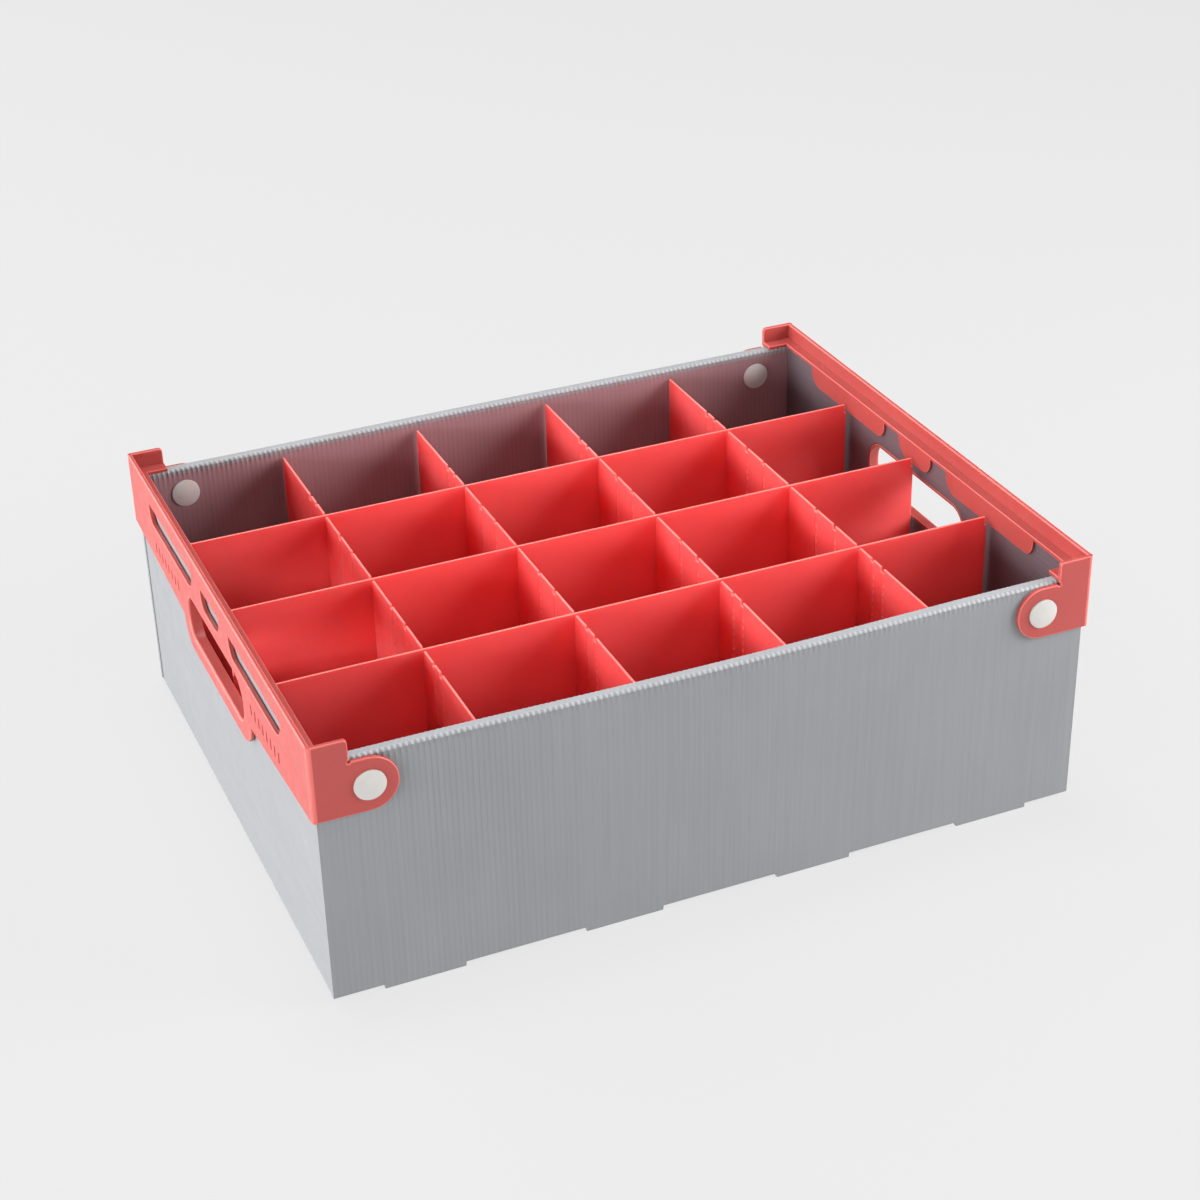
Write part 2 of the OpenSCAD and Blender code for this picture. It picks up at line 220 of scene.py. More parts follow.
def finished(piece, node_names, materials):
    """Gives a piece its materials by face index and the body of the CAD nodes it replaces, which it
    hides.
    """
    indices = [face.material_index for face in piece.data.polygons]
    piece.data.materials.clear()
    for material in materials:
        piece.data.materials.append(material)
    for face, index in zip(piece.data.polygons, indices):
        face.material_index = min(index, len(materials) - 1)
    normals = piece.modifiers.new("normals", "WEIGHTED_NORMAL")
    normals.keep_sharp = True
    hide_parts(*node_names)
    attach(piece, NODES[node_names[0]]["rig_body"])


def flute_count(low, high):
    return math.floor((high - low) / FLUTE_PITCH)


def first_web(low, high):
    """Where the first flute starts, with as many as fit set evenly between two coordinates."""
    return low + (high - low - flute_count(low, high) * FLUTE_PITCH) / 2


class Flutes:
    """The flutes of a board between two coordinates."""

    def __init__(self, low, high, seed):
        self.low, self.high = low, high
        self.first = first_web(low, high)
        draw = random.Random(seed)
        self.crush = [draw.uniform(*CRUSH) for _ in range(flute_count(low, high) + 2)]

    def stations(self, breaks=()):
        """Coordinates along the board, several to a flute, with a close pair at each break."""
        step = FLUTE_PITCH / STEPS_PER_FLUTE
        count = int((self.high - self.first) / step) + 1
        values = {self.low, self.high}
        values.update(self.first + i * step for i in range(count))
        near = [b + side * FOOT_RAMP / 2 for b in breaks for side in (-1, 1)]
        kept = [v for v in values if all(abs(v - n) > STATION_GAP for n in near)]
        return sorted(kept + near)

    def sink(self, u):
        """(even, crushed) depth of the skin at u, from 0 at a web to -1 between two."""
        phase = (u - self.first) / FLUTE_PITCH
        even = -abs(math.sin(math.pi * phase))
        return even, even * self.crush[int(phase) + 1]


# --- Materials ------------------------------------------------------------------------------------
MIX_SHARE, MIX_FIRST, MIX_SECOND, MIX_RESULT = 0, 6, 7, 2   # a colour Mix node's sockets


class Shader:
    """A principled material in the making, with object coordinates in metres."""

    def __init__(self, name, **constants):
        self.material = bpy.data.materials.new(name)
        self.material.use_nodes = True
        self.nodes = self.material.node_tree.nodes
        self.links = self.material.node_tree.links
        self.surface = self.nodes["Principled BSDF"]
        self.place = self.nodes.new("ShaderNodeTexCoord").outputs["Object"]
        for socket, value in constants.items():
            self.surface.inputs[socket.replace("_", " ")].default_value = value

    def noise(self, scale, stretch=(1, 1, 1), detail=3.0, rough=0.55):
        mapping = self.nodes.new("ShaderNodeMapping")
        mapping.inputs["Scale"].default_value = stretch
        self.links.new(self.place, mapping.inputs["Vector"])
        texture = self.nodes.new("ShaderNodeTexNoise")
        texture.inputs["Scale"].default_value = scale
        texture.inputs["Detail"].default_value = detail
        texture.inputs["Roughness"].default_value = rough
        self.links.new(mapping.outputs["Vector"], texture.inputs["Vector"])
        return texture.outputs["Fac"]

    def coordinate(self, axis):
        split = self.nodes.new("ShaderNodeSeparateXYZ")
        self.links.new(self.place, split.inputs["Vector"])
        return split.outputs[axis]

    def bands(self, across, pitch, start):
        """Even bands across an axis: 0 on the lines that start at start, and 1 halfway between them."""
        texture = self.nodes.new("ShaderNodeTexWave")
        texture.bands_direction = across
        texture.inputs["Scale"].default_value = 2 * math.pi / (20 * pitch)
        texture.inputs["Phase Offset"].default_value = -2 * math.pi * start / pitch
        self.links.new(self.place, texture.inputs["Vector"])
        return texture.outputs["Fac"]

    def ramp(self, value, stops):
        ramp = self.nodes.new("ShaderNodeValToRGB")
        elements = ramp.color_ramp.elements
        while len(elements) < len(stops):
            elements.new(0.5)
        for element, (position, colour) in zip(elements, stops):
            element.position = position
            element.color = (*colour, 1)
        self.links.new(value, ramp.inputs["Fac"])
        return ramp.outputs["Color"]

    def feed(self, socket, source):
        """Sets a socket to a number, or links it to the socket that feeds it."""
        if isinstance(source, (int, float)):
            socket.default_value = source
        else:
            self.links.new(source, socket)

    def span(self, value, low, high, out_low, out_high):
        """Value, from the range low to high into the range out_low to out_high."""
        node = self.nodes.new("ShaderNodeMapRange")
        self.feed(node.inputs["From Min"], low)
        self.feed(node.inputs["From Max"], high)
        self.feed(node.inputs["To Min"], out_low)
        self.feed(node.inputs["To Max"], out_high)
        self.feed(node.inputs["Value"], value)
        return node.outputs["Result"]

    def multiplied(self, share, first, second):
        """The first colour, multiplied by the second as far as share says."""
        node = self.nodes.new("ShaderNodeMix")
        node.data_type = "RGBA"
        node.blend_type = "MULTIPLY"
        self.feed(node.inputs[MIX_SHARE], share)
        self.feed(node.inputs[MIX_FIRST], first)
        self.feed(node.inputs[MIX_SECOND], second)
        return node.outputs[MIX_RESULT]

    def bump(self, layers):
        """layers are (height, strength, distance), stacked one on another."""
        normal = None
        for height, strength, distance in layers:
            node = self.nodes.new("ShaderNodeBump")
            node.inputs["Strength"].default_value = strength
            node.inputs["Distance"].default_value = distance
            self.links.new(height, node.inputs["Height"])
            if normal is not None:
                self.links.new(normal, node.inputs["Normal"])
            normal = node.outputs["Normal"]
        self.links.new(normal, self.surface.inputs["Normal"])

    def colour(self, source):
        self.links.new(source, self.surface.inputs["Base Color"])

    def roughness(self, source):
        self.links.new(source, self.surface.inputs["Roughness"])


BOARD_DARK, BOARD_LIGHT = (0.218, 0.225, 0.236), (0.238, 0.245, 0.257)
CLOUD_STOPS = [(0.3, (0.97, 0.97, 0.97)), (0.7, (1.02, 1.02, 1.02))]

# Tones across one flute, from the web (0) to halfway between two webs (1)
WEB_STOPS = [(0.0, (0.84, 0.84, 0.84)), (0.22, (0.98, 0.98, 0.98)), (1.0, (1.01, 1.01, 1.01))]
# At the crease the hollows between the webs are darker: painted shade in the crushed flutes
CREASE_HOLLOW_SHADE_STOPS = [(0.0, (1.0, 1.0, 1.0)), (0.25, (0.92, 0.92, 0.92)), (0.75, (0.66, 0.67, 0.68))]
WEB_FADE = (-160 * MM, 100 * MM)      # where the webs of a long wall start to fade, and are faint
FAINT_SHARE = 0.05

# Factors on the board's tones. The strip's flat top is paler: painted light from above. The fold is
# whitened, partly real stress-whitening and partly painted highlight. The faces inside the box are
# darker and warmer,
# as they look beside the red dividers: painted shade and painted red bounce light.
RIM_TOP_PAINTED_LIGHT, CREASE_WHITENING_AND_HIGHLIGHT = (1.45, 1.44, 1.43), (1.75, 1.73, 1.71)
# Painted shade and painted red bounce light on the faces inside the box
WALL_INSIDE_PAINTED_SHADE_BOUNCE, END_INSIDE_PAINTED_SHADE_BOUNCE = (1.25, 0.68, 0.70), (0.55, 0.42, 0.45)


def board_material(name, along, across, start, web_share=0.8, tint=(1, 1, 1), stops=None, fade=None):
    """Grey fluted polypropylene, its flutes along one axis and side by side across another.

    The first flute starts at start. The webs show unevenly up to web_share, or wholly with
    tones of their own in stops. fade is a pair of coordinates across which they fade away.
    """
    shader = Shader(name, IOR=1.49)
    stretch = [1.0, 1.0, 1.0]
    stretch["XYZ".index(along)] = 0.02
    streaks = shader.noise(420, tuple(stretch), 3.0, 0.5)
    darker, lighter = (tuple(t * c for t, c in zip(tint, tone)) for tone in (BOARD_DARK, BOARD_LIGHT))
    tone = shader.ramp(streaks, [(0.25, darker), (0.75, lighter)])
    cloud = shader.ramp(shader.noise(14, detail=2.0), CLOUD_STOPS)
    plain = shader.multiplied(1.0, tone, cloud)
    webs = shader.ramp(shader.bands(across, FLUTE_PITCH, start), stops or WEB_STOPS)
    if stops:
        share = web_share
    else:
        share = shader.span(shader.noise(5, detail=1.0), 0.35, 0.62, 0.10, web_share)
    if fade:
        share = shader.span(shader.coordinate(across), *fade, share, FAINT_SHARE)
    shader.colour(shader.multiplied(share, plain, webs))
    shader.roughness(shader.span(shader.noise(60, detail=3.0), 0.3, 0.7, 0.40, 0.50))
    shader.bump([(shader.noise(1800, tuple(stretch), 2.0), 0.10, 0.0001)])
    return shader.material


RED_SPREAD = (1.0, 0.15, 0.12)        # how much further red light spreads inside than green and blue


def red_material(name, dark, light, grain, glow=0.35, reach=4 * MM):
    """Red polypropylene between two tones; glow and reach say how light spreads inside it."""
    shader = Shader(name, IOR=1.49, Subsurface_Weight=glow, Subsurface_Scale=reach)
    shader.surface.inputs["Subsurface Radius"].default_value = RED_SPREAD
    flow = shader.noise(14, (1.0, 1.0, 0.35), 4.0)
    shader.colour(shader.ramp(flow, [(0.3, dark), (0.7, light)]))
    shader.roughness(shader.span(shader.noise(90, detail=4.0), 0.3, 0.7, 0.36, 0.50))
    shader.bump([
        (shader.noise(2600, detail=2.0), grain, 0.00012),
        (shader.noise(30, detail=2.0), 0.3, 0.0005),
    ])
    return shader.material


RIVET_STOPS = [(0.3, (0.50, 0.485, 0.465)), (0.7, (0.54, 0.525, 0.505))]


def rivet_material():
    shader = Shader("white_rivet", IOR=1.50, Subsurface_Weight=0.25, Subsurface_Scale=0.003)
    shader.colour(shader.ramp(shader.noise(120), RIVET_STOPS))
    shader.roughness(shader.span(shader.noise(200), 0.3, 0.7, 0.30, 0.42))
    shader.bump([(shader.noise(1500), 0.15, 0.0001)])
    return shader.material


LONG_START, END_START = first_web(-WALL_X, WALL_X), first_web(END_LOW.z, END_HIGH.z)
WALL_BOARD = board_material("grey_board_wall", "Z", "X", LONG_START, fade=WEB_FADE)
# The inner layers' faces carry painted shade and painted red bounce light
INNER_BOARD = board_material("grey_board_inner", "Z", "X", LONG_START, web_share=0.7, tint=WALL_INSIDE_PAINTED_SHADE_BOUNCE)
RIM_BOARD = board_material("grey_board_rim", "Y", "X", LONG_START, web_share=0.4, tint=RIM_TOP_PAINTED_LIGHT)
CREASE_BOARD = board_material(
    "grey_board_crease", "Y", "X", LONG_START, web_share=1.0, tint=CREASE_WHITENING_AND_HIGHLIGHT, stops=CREASE_HOLLOW_SHADE_STOPS)
END_BOARD = board_material("grey_board_end", "Y", "Z", END_START, web_share=0.6)
# The end walls' inside faces carry painted shade and painted red bounce light
END_INNER_BOARD = board_material(
    "grey_board_end_inner", "Y", "Z", END_START, web_share=1.0, tint=END_INSIDE_PAINTED_SHADE_BOUNCE)
BASE_BOARD = board_material("grey_board_base", "Y", "X", first_web(BASE_LOW.x, BASE_HIGH.x))
RED_FRAME = red_material("red_frame", (0.38, 0.056, 0.050), (0.42, 0.067, 0.059), grain=0.30)
# Paler red on the frames' rounded edges and corners: painted highlight
RED_FRAME_HIGHLIGHT = red_material("red_frame_edge_highlight", (0.56, 0.115, 0.100), (0.61, 0.140, 0.122), grain=0.20)
RED_DIVIDER = red_material(
    "red_divider", (0.74, 0.080, 0.083), (0.79, 0.094, 0.095), grain=0.20, glow=0.85, reach=6 * MM)
# Paler red on the dividers' edge faces, their tops included: painted highlight
RED_DIVIDER_HIGHLIGHT = red_material("red_divider_edge_highlight", (0.84, 0.18, 0.16), (0.88, 0.23, 0.20), grain=0.10)
WHITE_RIVET = rivet_material()


# --- Fluted board ---------------------------------------------------------------------------------
FOOT_X = [(i - 1.5) * FOOT_STEP for i in range(4)]


def bulge(side, x, z):
    """Outward bow of a long wall."""
    if abs(x) >= BOW_HALF:
        return 0.0
    share = (1 - (x / BOW_HALF) ** 2) ** 2
    return BOW[side] * share * math.sin(math.pi / 2 * max(0.0, z) / RIM_Z)


def showing(x):
    """How strongly the flutes show on a long wall: fully on its left, and less to the right."""
    share = (x - SHOW_FULL) / (SHOW_FAINT - SHOW_FULL)
    return 1.0 - (1.0 - SHOW_LEAST) * min(1.0, max(0.0, share))


def wall_loop(side, flutes, x, profile):
    """Points of a long wall's section at x; profile rows are q, z, normal, skin and crease sink."""
    even, crushed = flutes.sink(x)
    points = []
    for q, z, (nq, nz), skin, crease in profile:
        depth = skin * even + crease * crushed
        depth *= showing(x) if z < FOLD_Z - CREASE_REACH else (1 + showing(x)) / 2
        out = q + nq * depth + bulge(side, x, z)
        points.append((x, side * out, z + nz * depth))
    return points


def crease_weight(z):
    """How deep the crease above lets a wall sink at the height z."""
    below = max(0.0, FOLD_Z - z)
    return CREASE_SINK * math.exp(-below / CREASE_REACH) + FADE_SINK * math.exp(-below / FADE_REACH)


def layer_profile(face, back, low):
    """Section of one layer of a long wall: its visible face, its back, and its lower end."""
    out = 1 if face > back else -1
    heights = [low + EDGE_ROUND] + WALL_HEIGHTS + [FOLD_Z - step for step in CREASE_STEPS]
    rows = [(face, z, (out, 0), SKIN_SINK, crease_weight(z)) for z in heights]
    rows += [(back, z, (0, 0), 0, 0) for z in reversed(heights)]
    for turn in range(75, -76, -30):
        angle = math.radians(turn)
        middle = (face + back) / 2
        reach = abs(face - back) / 2 - EDGE_ROUND
        centre = middle + (reach if turn < 0 else -reach) * out
        q = centre - math.sin(angle) * EDGE_ROUND * out
        z = low + EDGE_ROUND - math.cos(angle) * EDGE_ROUND
        rows.append((q, z, (0, 0), 0, 0))
    return rows


def rim_profile():
    """Section of the strip between the rim's two folds."""
    rows = [(WALL_Q, FOLD_Z, (1, 0), SKIN_SINK, CREASE_SINK)]
    for side, centre in ((1, WALL_Q - RIM_ROUND), (-1, INNER_Q + RIM_ROUND)):
        turns = range(0, 91, 15) if side > 0 else range(90, -1, -15)
        for turn in turns:
            angle = math.radians(turn)
            normal = (side * math.cos(angle), math.sin(angle))
            rows.append((
                centre + RIM_ROUND * normal[0], RIM_Z - RIM_ROUND + RIM_ROUND * normal[1],
                normal, SKIN_SINK, CREASE_SINK * max(0.0, normal[0] * side) ** 1.5,
            ))
    rows.append((INNER_Q, FOLD_Z, (-1, 0), SKIN_SINK, CREASE_SINK))
    return rows


# Materials of the strip's faces in the order of its profile: 0 wall, 1 crease, whitened with painted
# highlight,
# 2 flat top, paler with painted light
RIM_PARTS = [0] + 6 * [1] + [2] + 6 * [1] + [0, 0]


def drills(side):
    """Cutters for the two rivet bores of a long wall."""
    cutters = []
    for x in (RIVET_X, -RIVET_X):
        bpy.ops.mesh.primitive_cylinder_add(
            vertices=48, radius=BORE_RADIUS, depth=8 * BOARD,
            location=(x, side * MID_Q, EAR_Z), rotation=(math.pi / 2, 0, 0),
        )
        cutters.append(bpy.context.object)
    return cutters


def long_wall(side, word):
    """The three parts of a long wall: outer layer, rim strip and inner layer."""
    flutes = Flutes(-WALL_X, WALL_X, 7 + side)
    breaks = [x + end * FOOT_LENGTH / 2 for x in FOOT_X for end in (-1, 1)]

    def low_of(x, foot, plain, half):
        return foot if any(abs(x - middle) < half for middle in FOOT_X) else plain

    loops = []
    for x in flutes.stations(breaks):
        low = low_of(x, OUTER_LOW.z, BASE_LOW.z, FOOT_LENGTH / 2)
        loops.append(wall_loop(side, flutes, x, layer_profile(WALL_Q, MID_Q, low)))
    outer = combine(lofted(f"{word}_outer_wall_board", loops), drills(side), "DIFFERENCE")
    finished(shade(outer), [f"{word}_outer_wall"], [WALL_BOARD])

    loops = [wall_loop(side, flutes, x, rim_profile()) for x in flutes.stations()]
    strip = lofted(f"{word}_rim_strip", loops)
    size = len(rim_profile())
    for face in strip.data.polygons[:size * (len(loops) - 1)]:
        face.material_index = RIM_PARTS[face.index % size]
    finished(shade(strip), [f"{word}_rim_fold"], [WALL_BOARD, CREASE_BOARD, RIM_BOARD])

    half = FOOT_LENGTH / 2 - TAB_PLAY
    tab_breaks = [x + end * half for x in FOOT_X for end in (-1, 1)]
    loops = []
    for x in flutes.stations(tab_breaks):
        if INNER_LOW.x <= x <= INNER_HIGH.x:
            low = low_of(x, INNER_LOW.z, BASE_HIGH.z, half)
            loops.append(wall_loop(side, flutes, x, layer_profile(INNER_Q, MID_Q, low)))
    inner = combine(lofted(f"{word}_inner_wall_board", loops), drills(side), "DIFFERENCE")
    finished(shade(inner), [f"{word}_inner_wall"], [INNER_BOARD])


def base_board():
    """The base, with a notch at each foot for the inner layers' tabs."""
    flutes = Flutes(BASE_LOW.x, BASE_HIGH.x, 3)
    breaks = [x + end * FOOT_LENGTH / 2 for x in FOOT_X for end in (-1, 1)]
    loops = []
    for x in flutes.stations(breaks):
        notched = any(abs(x - middle) < FOOT_LENGTH / 2 for middle in FOOT_X)
        reach = INNER_Q if notched else BASE_HIGH.y
        depth = SKIN_SINK * flutes.sink(x)[0]
        top, bottom = BASE_HIGH.z + depth, BASE_LOW.z - depth
        loops.append([(x, -reach, bottom), (x, reach, bottom), (x, reach, top), (x, -reach, top)])
    finished(shade(lofted("base_board", loops)), ["base_panel"], [BASE_BOARD])


def end_wall_board(side, word):
    """An end wall, with its flutes across the box."""
    flutes = Flutes(END_LOW.z, END_HIGH.z, 20 + side)
    loops = []
    for z in flutes.stations([FOLD_Z - FIT]):
        reach = INNER_Q - FIT if z > FOLD_Z - FIT else END_HIGH.y
        depth = SKIN_SINK * flutes.sink(z)[0]
        outer, inner = -END_LOW.x + depth, -END_HIGH.x - depth
        corners = ((outer, -reach), (outer, reach), (inner, reach), (inner, -reach))
        loops.append([(side * x, y, z) for x, y in corners])
    board = lofted(f"{word}_end_wall_board", loops)
    grow = SLEEVE + SLEEVE_PLAY
    opening = slot_outline(HOLE_LENGTH + 2 * grow, HOLE_HEIGHT + 2 * grow, HOLE_RADIUS + grow, HOLE_Z)
    ends = [side * (-END_LOW.x + reach) for reach in (-2 * BOARD, BOARD)]
    cutter = lofted("opening", [[(x, y, z) for y, z in opening] for x in ends])
    combine(board, [cutter], "DIFFERENCE")
    for face in board.data.polygons:
        face.material_index = int(face.normal.x * side < -0.5)
    finished(shade(board), [f"{word}_end_wall"], [END_BOARD, END_INNER_BOARD])


# --- Moulded parts --------------------------------------------------------------------------------
def arc(centre, radius, start, end, steps=8):
    """Points of an arc about centre, from the start angle to the end angle in degrees."""
    angles = (math.radians(start + (end - start) * i / steps) for i in range(steps + 1))
    return [(centre[0] + radius * math.cos(a), centre[1] + radius * math.sin(a)) for a in angles]


def signed_area(outline):
    pairs = zip(outline, outline[1:] + outline[:1])
    return sum(a[0] * b[1] - b[0] * a[1] for a, b in pairs) / 2


def inset(outline, distance):
    """The outline moved towards its left-hand side by distance."""
    points = []
    for before, here, after in zip(outline[-1:] + outline[:-1], outline, outline[1:] + outline[:1]):
        arriving = (Vector(here) - Vector(before)).normalized()
        leaving = (Vector(after) - Vector(here)).normalized()
        first, second = Vector((-arriving.y, arriving.x)), Vector((-leaving.y, leaving.x))
        points.append(Vector(here) + (first + second) * distance / max(0.2, 1 + first.dot(second)))
    return points


def rounded_sheet(name, outlines, low, high, rounding, place, steps=3, whole_edge=False):
    """Sheet from low to high with rounded edges; rounding is one radius or one for each outline.

    The first outline is the outside and the others are holes; place(a, b, height) is a 3-D point.
    The roundings get material 1, and so does the whole edge face if whole_edge is set.
    """
    bm = bmesh.new()
    turns = [math.pi / 2 * i / steps for i in range(steps + 1)]
    caps = ([], [])
    for index, outline in enumerate(outlines):
        radius = rounding[index] if isinstance(rounding, list) else rounding
        levels = [(radius * (1 - math.sin(t)), low + radius * (1 - math.cos(t))) for t in turns]
        levels += [(in_by, low + high - height) for in_by, height in reversed(levels)]
        if (signed_area(outline) > 0) != (index == 0):
            outline = outline[::-1]
        rings = []
        for in_by, height in levels:
            ring = [bm.verts.new(place(p[0], p[1], height)) for p in inset(outline, in_by)]
            rings.append(ring)
        size = len(outline)
        for row in range(len(rings) - 1):
            for i in range(size):
                j = (i + 1) % size
                face = bm.faces.new((rings[row][i], rings[row][j], rings[row + 1][j], rings[row + 1][i]))
                face.material_index = int(whole_edge or row != steps)
        for cap, ring in zip(caps, (rings[0], rings[-1])):
            cap.extend(bm.edges.get((ring[i], ring[(i + 1) % size])) for i in range(size))
    for cap in caps:
        bmesh.ops.triangle_fill(bm, use_beauty=True, use_dissolve=False, edges=cap)
    bmesh.ops.recalc_face_normals(bm, faces=bm.faces)
    mesh = bpy.data.meshes.new(name)
    bm.to_mesh(mesh)
    bm.free()
    for _ in range(2):
        mesh.materials.append(None)
    return linked(name, mesh)


def boxes(name, corners):
    """One mesh of separate boxes, each from a lowest to a highest corner."""
    vertices, faces = [], []
    for low, high in corners:
        first = len(vertices)
        vertices += itertools.product(*zip(low, high))
        quads = ((0, 1, 3, 2), (4, 6, 7, 5), (0, 4, 5, 1), (2, 3, 7, 6), (0, 2, 6, 4), (1, 5, 7, 3))
        faces += [tuple(first + i for i in quad) for quad in quads]
    return new_piece(name, vertices, faces)


def slot_outline(length, height, radius, z):
    """Rounded rectangle about (0, z)."""
    points = []
    for sy, sz, start in ((1, 1, 0), (-1, 1, 90), (-1, -1, 180), (1, -1, 270)):
        centre = (sy * (length / 2 - radius), z + sz * (height / 2 - radius))
        points += arc(centre, radius, start, start + 90)
    return points


def drop_outline(middle, length, low, top):
    """Window or lobe: flat top, with a large and a small round lower corner."""
    left, right = middle - length / 2, middle + length / 2
    return (
        [(left, top)] + arc((left + LOBE_LARGE, low + LOBE_LARGE), LOBE_LARGE, 180, 270)
        + arc((right - LOBE_SMALL, low + LOBE_SMALL), LOBE_SMALL, 270, 360) + [(right, top)]
    )


def drop_outlines(low, top):
    spots = ((0, WINDOW_MIDDLE), (-WINDOW_Y, WINDOW_LENGTH), (WINDOW_Y, WINDOW_LENGTH))
    return [drop_outline(middle, length, low, top) for middle, length in spots]


def plate_outline():
    """Outside of the end plate, with the ring of the hand hole below it."""
    half = HOLE_LENGTH / 2 + RING_WIDTH
    ring_low, lip = FRAME_LOW.z, FRAME_HIGH.z
    return (
        [(-FRAME_Y, PLATE_LOW)]
        + arc((RING_RADIUS - half, ring_low + RING_RADIUS), RING_RADIUS, 180, 270)
        + arc((half - RING_RADIUS, ring_low + RING_RADIUS), RING_RADIUS, 270, 360)
        + [(FRAME_Y, PLATE_LOW), (FRAME_Y, lip), (-FRAME_Y, lip)]
    )


def side_outline():
    """Corner wrap with its lip and ear; the first coordinate counts from the outer face inwards."""
    ear_top, lip = EAR_Z + EAR_RADIUS, FRAME_HIGH.z
    return (
        [(0, PLATE_LOW)] + arc((EAR_IN, EAR_Z), EAR_RADIUS, -90, 90, 24)
        + arc((WRAP, ear_top), RELIEF, 0, -270, 10)
        + arc((WRAP - LIP_ROUND, lip - LIP_ROUND), LIP_ROUND, 0, 90, 5) + [(0, lip)]
    )


def frame_parts():
    """The left frame's plate, corners, ledge, lobes and sleeve, as sheets that run into each other."""
    def across(a, b, height):
        return (height, a, b)

    ledge_low, ledge_high = LEDGE_Z, LEDGE_Z + LEDGE
    holes = [slot_outline(HOLE_LENGTH, HOLE_HEIGHT, HOLE_RADIUS, HOLE_Z)]
    holes += drop_outlines(LEDGE_Z - WINDOW_HEIGHT, LEDGE_Z)
    plate = rounded_sheet(
        "plate", [plate_outline()] + holes, -FRAME_X, FRAME_THICK - FRAME_X, PLATE_ROUNDS, across, 4)
    parts = []
    bore = arc((EAR_IN, EAR_Z), BORE_RADIUS, 0, 350, 35)
    for side in (-1, 1):
        parts.append(rounded_sheet(
            "corner", [side_outline(), bore], FRAME_Y - FRAME_THICK, FRAME_Y, FRAME_ROUND,
            lambda a, b, height, side=side: (a - FRAME_X, side * height, b), 4))
    buried = FRAME_THICK / 2
    ledge_end, ledge_edge = WRAP - FRAME_X, INNER_Q - LEDGE_LIP
    ledge = [(buried - FRAME_X, -FRAME_Y + buried), (ledge_end, -FRAME_Y + buried)]
    ledge += [(ledge_end, -ledge_edge), (-LOBE_X, -ledge_edge)]
    ledge += [(x, -y) for x, y in reversed(ledge)]
    parts.append(rounded_sheet(
        "ledge", [ledge], ledge_low, ledge_high, LEDGE_ROUND, lambda a, b, height: (a, b, height)))
    for outline in drop_outlines(LOBE_Z, ledge_low + LEDGE / 2):
        parts.append(rounded_sheet("lobe", [outline], -LOBE_X - LOBE_THICK, -LOBE_X, LOBE_ROUND, across))
    sleeve = [
        slot_outline(HOLE_LENGTH + 2 * grow, HOLE_HEIGHT + 2 * grow, HOLE_RADIUS + grow, HOLE_Z)
        for grow in (SLEEVE, SLEEVE_GROW)
    ]
    parts.append(rounded_sheet("sleeve", sleeve, buried - FRAME_X, END_HIGH.x, SLEEVE_ROUND, across))
    return plate, parts


def corner_bar():
    """Upright bar that rounds the frame's two outer corners."""
    outline = (
        arc((CORNER_ROUND - FRAME_X, CORNER_ROUND - FRAME_Y), CORNER_ROUND, 180, 270)
        + [(0, -FRAME_Y), (0, FRAME_Y)]
        + arc((CORNER_ROUND - FRAME_X, FRAME_Y - CORNER_ROUND), CORNER_ROUND, 90, 180)
    )
    bar = lofted("corner_bar", [[(x, y, z) for x, y in outline] for z in (0, 2 * FRAME_HIGH.z)])
    # The rounded corners take the paler edge red: painted highlight
    for face in bar.data.polygons:
        face.material_index = 1
    return bar


def grip_grooves():
    """Cutters for the upright grooves on both sides of the hand hole."""
    corners = []
    z, wide, tall = EAR_Z - GROOVE_DROP, GROOVE_WIDTH / 2, GROOVE_HEIGHT / 2
    for side in (-1, 1):
        for i in range(GROOVES):
            y = side * (HOLE_LENGTH / 2 + RING_WIDTH + GROOVE_START + i * GROOVE_STEP)
            low = (-FRAME_X - GROOVE_DEPTH, y - wide, z - tall)
            corners.append((low, (-FRAME_X + GROOVE_DEPTH, y + wide, z + tall)))
    return boxes("grooves", corners)


def end_frames():
    """The moulded end frame, made once and set on both ends."""
    plate, parts = frame_parts()
    combine(plate, parts, "UNION")
    combine(plate, [corner_bar()], "INTERSECT")
    combine(plate, [grip_grooves()], "DIFFERENCE")
    shade(plate, RED_SHARP)
    for word, turn in (("left", 0), ("right", 180)):
        mesh = plate.data.copy()
        mesh.transform(Matrix.Rotation(math.radians(turn), 4, "Z"))
        piece = linked(f"{word}_moulded_frame", mesh)
        finished(piece, [f"{word}_end_frame"], [RED_FRAME, RED_FRAME_HIGHLIGHT])
    bpy.data.objects.remove(plate)


def cross_outlines(low, high, lap):
    """Outline of a cross divider in Y and Z, then the break-out dashes."""
    cuts = [(y, "slot") for y in LONG_Y]
    cuts += [((2 * f - 1) * INNER_Q, "wide") for f in SPARE_WIDE]
    cuts += [((2 * f - 1) * INNER_Q, "small") for f in SPARE_SMALL]
    outline = [(-CROSS_HALF, low), (CROSS_HALF, low), (CROSS_HALF, high)]
    dashes = []
    for y, form in sorted(cuts, reverse=True):
        if form == "slot":
            half, mouth = SLOT / 2, LEAD_IN
            outline += [(y + mouth, high), (y + half, high - LEAD_DEEP), (y + half, lap)]
            outline += [(y - half, lap), (y - half, high - LEAD_DEEP), (y - mouth, high)]
            continue
        width, depth = WIDE_NOTCH if form == "wide" else SMALL_NOTCH
        outline += [(y + width / 2, high), (y + width / 2, high - depth)]
        outline += [(y - width / 2, high - depth), (y - width / 2, high)]
        z = lap + DASH_STEP / 2
        while z < high - 2 * DASH_STEP:
            left, right = y - DASH_OFF - DASH_WIDTH / 2, y - DASH_OFF + DASH_WIDTH / 2
            dashes.append([(left, z), (right, z), (right, z + DASH_HEIGHT), (left, z + DASH_HEIGHT)])
            z += DASH_STEP
    return [outline + [(-CROSS_HALF, high)]] + dashes


